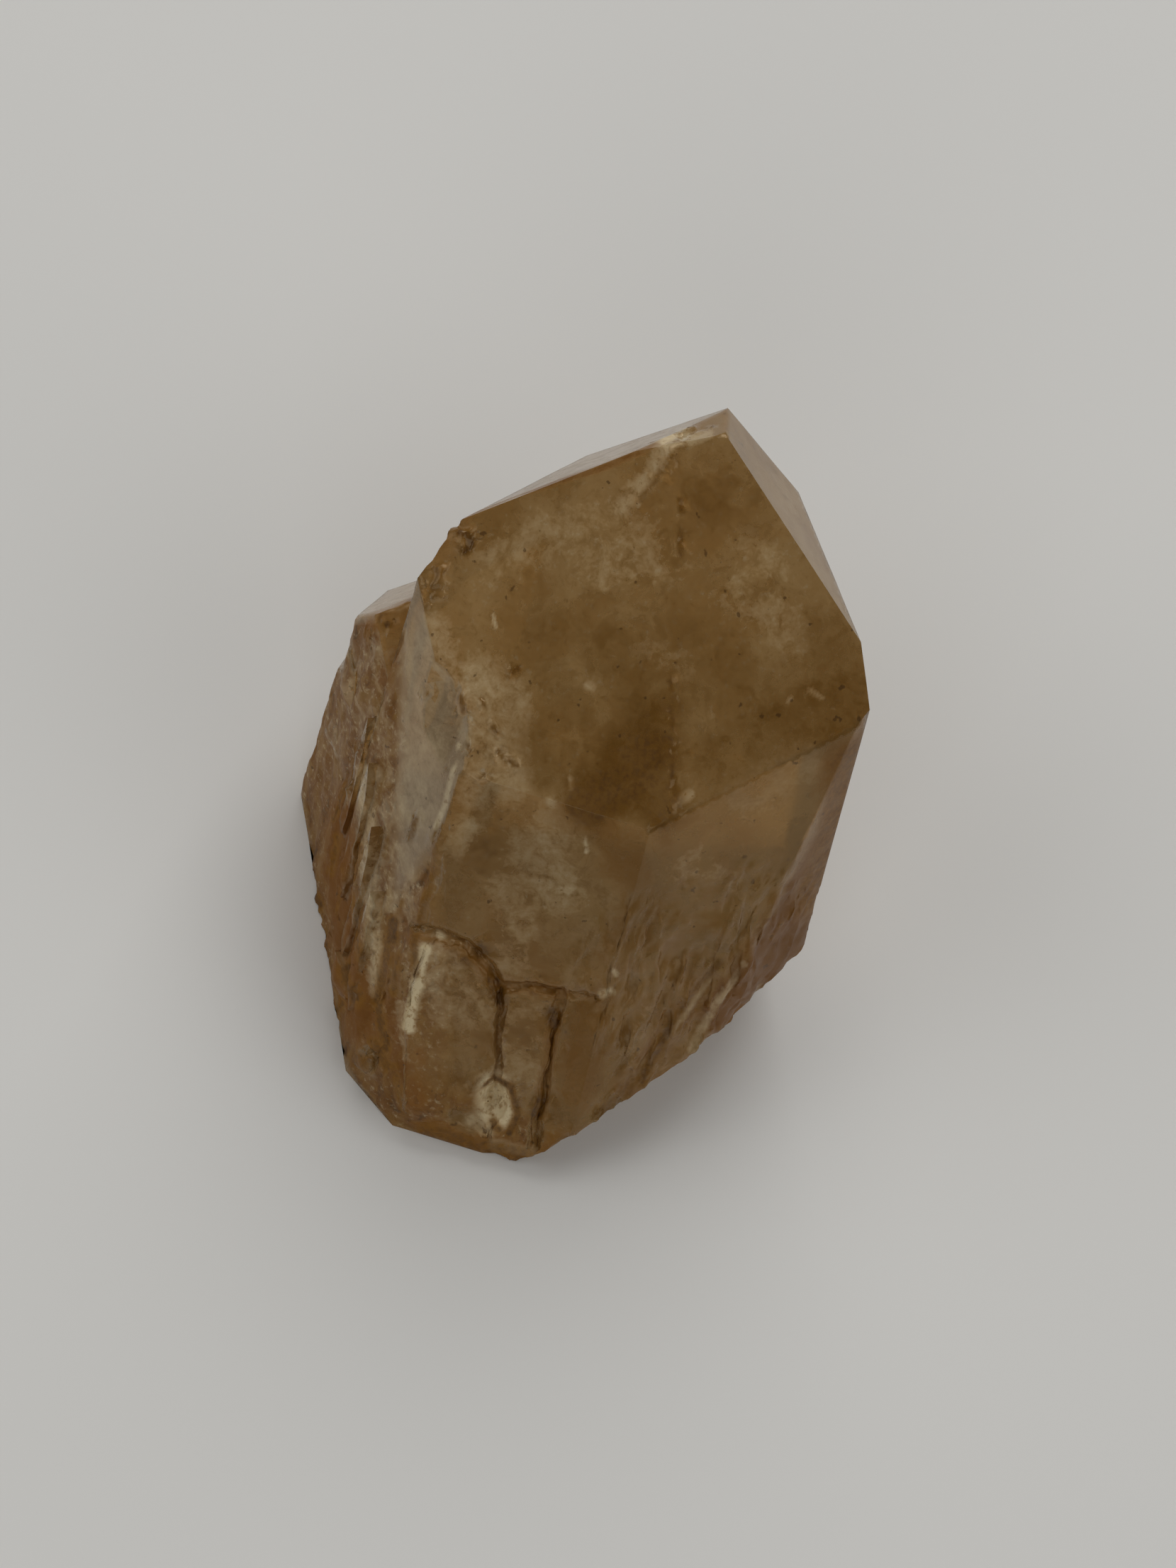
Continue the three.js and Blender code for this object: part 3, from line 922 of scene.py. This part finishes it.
@dataclass
class CitrineStone:
    """The whole crystal: the solid's own facets, with weathered breaks and painted marks."""

    # The mesh: how it is cleaned and how finely it is split, in millimetres and degrees
    merge_gap: float = 0.001
    flat_angle: float = 0.4
    sliver: float = 0.05
    segment: float = 0.60
    fine_segment: float = 0.24
    fine_width: float = 0.7
    fine_margin: float = 0.35
    leeway: float = 1.35
    rounds: tuple[float, ...] = (6.0, 3.0, 1.5, 1.0, 1.0, 1.0)
    fine_from: float = 1.5
    smooth_angle: float = 24.0

    # The breaks: how near a broken plane a vertex lies, and how squarely it faces its way
    break_reach: float = 1.44
    break_soft: float = 0.6
    break_facing: float = 0.9
    break_turning: float = 0.15
    chip: Triple = (0.0, 1.4, -30.0)
    chip_shape: Triple = (0.6, 0.75, 0.5)
    chip_reach: float = 1.5
    chip_soft: float = 0.4

    # The wear: how ragged breaks, cracks and spots are, and the softening before the noise
    break_share: float = 0.7
    crack_reach: float = 0.6
    crack_soft: float = 0.5
    spot_soft: float = 2.0
    soften_factor: float = 0.5
    soften_rounds: int = 20
    along_stretch: float = 3.2
    noise_layers: int = 2
    foot_height: float = 0.12
    tone_reach: float = 1.6

    stone: bpy.types.Object = field(init=False, repr=False)
    broken: np.ndarray = field(init=False, repr=False)

    def build(self) -> bpy.types.Object:
        """Build the stone and give it its finish.

        Returns:
            The finished piece, in place of the CAD node.
        """
        self.stone = self.copy_solid()
        self.merge()
        self.refine()
        self.weigh_breaks()
        self.weigh_ragged()
        self.weather()
        self.sit_flat()
        self.paint_marks()
        self.paint_facet_light()
        bpy.ops.object.shade_smooth_by_angle(angle=math.radians(self.smooth_angle))
        self.stone.data.materials.clear()
        self.stone.data.materials.append(CitrineFinish().build())
        stone = self.stone
        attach(stone, "root")
        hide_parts("citrine_crystal")
        LOG.info("stone: %d triangles", sum(len(p.vertices) - 2 for p in stone.data.polygons))
        return stone

    def copy_solid(self) -> bpy.types.Object:
        """Copy the CAD solid's mesh.

        Returns:
            A new object with that mesh, selected alone.
        """
        bpy.ops.object.select_all(action="DESELECT")
        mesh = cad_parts["citrine_crystal"].data.copy()
        mesh.name = "citrine_stone"
        stone = bpy.data.objects.new("citrine_stone", mesh)
        bpy.context.scene.collection.objects.link(stone)
        stone.select_set(True)
        bpy.context.view_layer.objects.active = stone
        return stone

    def merge(self) -> None:
        """Join the solid's loose triangles and dissolve the lines inside each flat face."""
        bpy.ops.object.mode_set(mode="EDIT")
        bpy.ops.mesh.select_all(action="SELECT")
        bpy.ops.mesh.remove_doubles(threshold=self.merge_gap * MM)
        bpy.ops.mesh.dissolve_limited(angle_limit=math.radians(self.flat_angle))
        bpy.ops.mesh.dissolve_degenerate(threshold=self.sliver * MM)
        bpy.ops.object.mode_set(mode="OBJECT")

    def refine(self) -> None:
        """Split long edges until the mesh carries the marks, finest where the marks are thin."""
        for step in self.rounds:
            bpy.ops.object.mode_set(mode="EDIT")
            bpy.ops.mesh.select_all(action="SELECT")
            bpy.ops.mesh.quads_convert_to_tris(quad_method="SHORTEST_DIAGONAL", ngon_method="BEAUTY")
            bpy.ops.mesh.select_all(action="DESELECT")
            bpy.ops.mesh.select_mode(type="EDGE")
            bpy.ops.object.mode_set(mode="OBJECT")
            self.select_long(step)
            bpy.ops.object.mode_set(mode="EDIT")
            bpy.ops.mesh.subdivide(number_cuts=1, smoothness=0.0)
            bpy.ops.object.mode_set(mode="OBJECT")
        self.close_gaps()

    def select_long(self, step: float) -> None:
        """Select the edges that are longer than the mesh allows at their place.

        Args:
            step: how many times coarser than the finished mesh this round is.
        """
        mesh = self.stone.data
        points = self.points()
        ends = np.empty(len(mesh.edges) * 2, dtype=np.int32)
        mesh.edges.foreach_get("vertices", ends)
        first, second = points[ends[0::2]], points[ends[1::2]]
        length = np.linalg.norm(first - second, axis=1)
        allowed = np.full(len(length), self.segment * step)
        if step <= self.fine_from:
            near = np.full(len(length), np.inf)
            for mark in MARKS:
                if mark.width <= self.fine_width:
                    near = np.minimum(near, mark.distance((first + second) / 2) - mark.width)
            allowed = np.where(near < self.fine_margin, self.fine_segment * step, allowed)
        mesh.edges.foreach_set("select", length > allowed * self.leeway)

    def close_gaps(self) -> None:
        """Take out the few vertices where more than two faces meet at an edge, and fill the holes."""
        bpy.ops.object.mode_set(mode="EDIT")
        bpy.ops.mesh.select_mode(type="VERT")
        bpy.ops.mesh.select_all(action="DESELECT")
        bpy.ops.mesh.select_non_manifold()
        bpy.ops.mesh.delete(type="VERT")
        bpy.ops.mesh.select_non_manifold()
        bpy.ops.mesh.fill_holes(sides=0)
        bpy.ops.object.mode_set(mode="OBJECT")

    def points(self) -> np.ndarray:
        """Return the stone's vertices in crystal millimetres."""
        return AXES.points(vectors(self.stone.data.vertices, "co"))

    def weigh_breaks(self) -> None:
        """Weigh each vertex by how far it lies on a broken face or in the chip."""
        points = self.points()
        normals = AXES.directions(vectors(self.stone.data.vertices, "normal"))
        gap = np.linalg.norm((points - np.array(self.chip)) * self.chip_shape, axis=1)
        self.broken = fade(gap, self.chip_reach, self.chip_soft)
        for facet in BROKEN_FACETS:
            near = fade(facet.height(points), self.break_reach, self.break_soft)
            facing = 1.0 - fade(normals @ facet.normal(), self.break_facing, self.break_turning)
            self.broken = np.maximum(self.broken, near * facing)
        self.make_group("broken", self.broken)

    def weigh_ragged(self) -> None:
        """Weigh each vertex by how ragged the stone is there: at breaks, thin dark cracks and spots."""
        points = self.points()
        ragged = self.broken * self.break_share
        for mark in MARKS:
            if mark.tone is Tone.DARK and mark.width <= self.fine_width:
                beside = mark.distance(points) - mark.width
                ragged = np.maximum(ragged, fade(beside, self.crack_reach, self.crack_soft))
        for centre, radius in RAGGED_SPOTS:
            gap = np.linalg.norm(points - np.array(centre), axis=1)
            ragged = np.maximum(ragged, fade(gap, radius, self.spot_soft))
        self.make_group("ragged", ragged)

    def make_group(self, name: str, weight: np.ndarray) -> None:
        """Store a weight for each vertex in a vertex group, in tenths.

        Args:
            name: the group's name.
            weight: a share from 0 to 1 for each vertex.
        """
        group = self.stone.vertex_groups.new(name=name)
        for level in range(1, 11):
            rows = np.nonzero(np.round(weight * 10) == level)[0]
            if len(rows):
                group.add(rows.tolist(), level / 10, "REPLACE")

    def weather(self) -> None:
        """Soften what is ragged, roughen the breaks along the crystal and give the facets a faint wave."""
        guide = bpy.data.objects.new("grain_guide", None)
        bpy.context.scene.collection.objects.link(guide)
        scale = (MM, MM, self.along_stretch * MM)
        guide.matrix_world = Matrix.LocRotScale(AXES.origin(), AXES.turn().to_quaternion(), scale)
        bpy.context.view_layer.update()
        soften = self.stone.modifiers.new("soften_ragged", "SMOOTH")
        soften.factor = self.soften_factor
        soften.iterations = self.soften_rounds
        soften.vertex_group = "ragged"
        bpy.ops.object.modifier_apply(modifier=soften.name)
        for roughening in ROUGHENINGS:
            self.roughen(roughening, guide)
        bpy.data.objects.remove(guide)

    def roughen(self, roughening: Roughening, guide: bpy.types.Object) -> None:
        """Move the surface by one noise.

        Args:
            roughening: the noise and where it acts.
            guide: the empty whose axes the noise follows, in millimetres.
        """
        texture = bpy.data.textures.new(roughening.name, "CLOUDS")
        texture.cloud_type = "COLOR" if roughening.every_way else "GRAYSCALE"
        texture.noise_scale = roughening.grain
        texture.noise_depth = self.noise_layers
        shove = self.stone.modifiers.new(roughening.name, "DISPLACE")
        shove.texture = texture
        shove.texture_coords = "OBJECT"
        shove.texture_coords_object = guide
        shove.direction = "RGB_TO_XYZ" if roughening.every_way else "NORMAL"
        shove.mid_level = 0.5
        shove.strength = roughening.depth * MM * 2
        shove.vertex_group = roughening.group
        bpy.ops.object.modifier_apply(modifier=shove.name)

    def sit_flat(self) -> None:
        """Press all that lies just above the ground, or under it, flat onto it."""
        mesh = self.stone.data
        rows = vectors(mesh.vertices, "co")
        rows[:, 2] = np.where(rows[:, 2] < self.foot_height * MM, 0.0, rows[:, 2])
        mesh.vertices.foreach_set("co", rows.ravel())
        mesh.update()

    def paint_marks(self) -> None:
        """Store how dark, pale, rusty and broken the surface is at each vertex, in the marks attribute;
        painted highlights count as pale, painted shade as dark.
        """
        points = self.points()
        shares = np.zeros((len(points), len(Tone)))
        for mark in MARKS:
            reach = fade(mark.distance(points), MARK_SPREAD * mark.width, mark.width) * mark.strength
            shares[:, mark.tone.value] = np.maximum(shares[:, mark.tone.value], reach)
        shares[:, Tone.BROKEN.value] = self.broken
        self.store("marks", "POINT", shares)

    def paint_facet_light(self) -> None:
        """Store which side facet with painted light each face belongs to, in the facets attribute."""
        polygons = self.stone.data.polygons
        centres = AXES.points(vectors(polygons, "center"))
        normals = AXES.directions(vectors(polygons, "normal"))
        shares = np.zeros((len(centres), 4))
        for painted_facet in PAINTED_LIGHT_FACETS:
            near = painted_facet.facet.height(centres) < self.tone_reach
            facing = normals @ painted_facet.facet.normal() > painted_facet.facing
            shares[near & facing, painted_facet.side.value] = 1.0
        self.store("facets", "FACE", shares)

    def store(self, name: str, domain: str, shares: np.ndarray) -> None:
        """Store four shares of each vertex or face as a colour attribute.

        Args:
            name: the attribute's name.
            domain: POINT for vertices, FACE for faces.
            shares: a row of four for each.
        """
        layer = self.stone.data.attributes.new(name, "FLOAT_COLOR", domain)
        layer.data.foreach_set("color", shares.astype(np.float32).ravel())


@dataclass(frozen=True)
class Softbox:
    """A square area light that faces the stone: places in degrees and metres, power in watts."""

    name: str
    azimuth: float
    rise: float
    reach: float
    side: float
    power: float


@dataclass
class Studio:
    """The pale floor, the soft lights and the camera."""

    floor_colour: Colour = tint(0.80, 0.79, 0.76)
    floor_side: float = 1.1
    floor_drop: float = 0.00002
    floor_roughness: float = 0.9
    floor_specular: float = 0.2
    sky_colour: Colour = tint(1.0, 0.99, 0.96)
    sky: float = 0.12
    target: Triple = (1.28, 1.94, 0.5)
    long_side: float = 119.4
    lens: float = 400.0
    sensor: float = 36.0
    clip: tuple[float, float] = (0.01, 20.0)
    softboxes: tuple[Softbox, ...] = (
        Softbox("back_softbox", 180.0, 44.0, 1.6, 1.15, 12.4),
        Softbox("left_softbox", -90.0, 42.0, 1.6, 1.15, 4.0),
        Softbox("right_softbox", 90.0, 42.0, 1.6, 1.15, 3.8),
        Softbox("front_softbox", 0.0, 36.0, 1.6, 1.15, 2.8),
    )

    def build(self) -> None:
        """Set up the whole studio."""
        self.make_floor()
        for softbox in self.softboxes:
            self.hang(softbox)
        self.fill_sky()
        self.place_camera()
        bpy.context.scene.view_settings.view_transform = "Standard"

    def make_floor(self) -> None:
        """Lay the floor just under the resting face."""
        bpy.ops.object.select_all(action="DESELECT")
        bpy.ops.mesh.primitive_plane_add(size=self.floor_side, location=(0.0, 0.0, -self.floor_drop))
        floor = bpy.context.active_object
        floor.name = "studio_floor"
        material = bpy.data.materials.new("pale_paper")
        material.use_nodes = True
        paper = material.node_tree.nodes["Principled BSDF"]
        paper.inputs["Base Color"].default_value = self.floor_colour
        paper.inputs["Roughness"].default_value = self.floor_roughness
        paper.inputs["Specular IOR Level"].default_value = self.floor_specular
        floor.data.materials.append(material)

    def direction(self, azimuth: float, rise: float) -> Vector:
        """Return the unit vector towards an azimuth from the front and a height, in degrees."""
        turn, lift = math.radians(azimuth), math.radians(rise)
        return Vector((math.sin(turn) * math.cos(lift), -math.cos(turn) * math.cos(lift), math.sin(lift)))

    def hang(self, softbox: Softbox) -> None:
        """Hang one softbox and turn it to the stone.

        Args:
            softbox: its place, size and power.
        """
        towards = self.direction(softbox.azimuth, softbox.rise)
        bpy.ops.object.light_add(type="AREA", location=towards * softbox.reach)
        light = bpy.context.active_object
        light.name = softbox.name
        light.rotation_euler = towards.to_track_quat("Z", "Y").to_euler()
        light.data.size = softbox.side
        light.data.energy = softbox.power

    def fill_sky(self) -> None:
        """Fill the room with an even soft light."""
        world = bpy.data.worlds.new("soft_room")
        world.use_nodes = True
        background = world.node_tree.nodes["Background"]
        background.inputs["Color"].default_value = self.sky_colour
        background.inputs["Strength"].default_value = self.sky
        bpy.context.scene.world = world

    def place_camera(self) -> None:
        """Place the camera above the front of the stone, turned as the photograph was taken."""
        back = self.direction(0.0, PHOTO.rise)
        level = Vector((1.0, 0.0, 0.0))
        upright = back.cross(level)
        cosine, sine = math.cos(math.radians(PHOTO.tilt)), math.sin(math.radians(PHOTO.tilt))
        right = level * cosine + upright * sine
        turn = Matrix((right, back.cross(right), back)).transposed()
        target = (Vector(AXES.zero) + Vector(self.target)) * MM
        half_view = self.sensor / 2 / self.lens
        place = target + back * (self.long_side * MM / 2 / half_view)
        bpy.ops.object.camera_add()
        camera = bpy.context.active_object
        camera.name = "photo_camera"
        camera.data.lens = self.lens
        camera.data.sensor_width = self.sensor
        camera.data.clip_start, camera.data.clip_end = self.clip
        camera.matrix_world = Matrix.LocRotScale(place, turn.to_quaternion(), None)
        bpy.context.scene.camera = camera


def main() -> None:
    """Build the studio and the stone, and report each."""
    logging.basicConfig(level=logging.INFO, format="%(message)s")
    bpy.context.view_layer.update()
    Studio().build()
    LOG.info("studio: floor, lights and camera")
    stone = CitrineStone().build()
    LOG.info("piece: %s", stone.name)


if __name__ == "__main__":
    main()
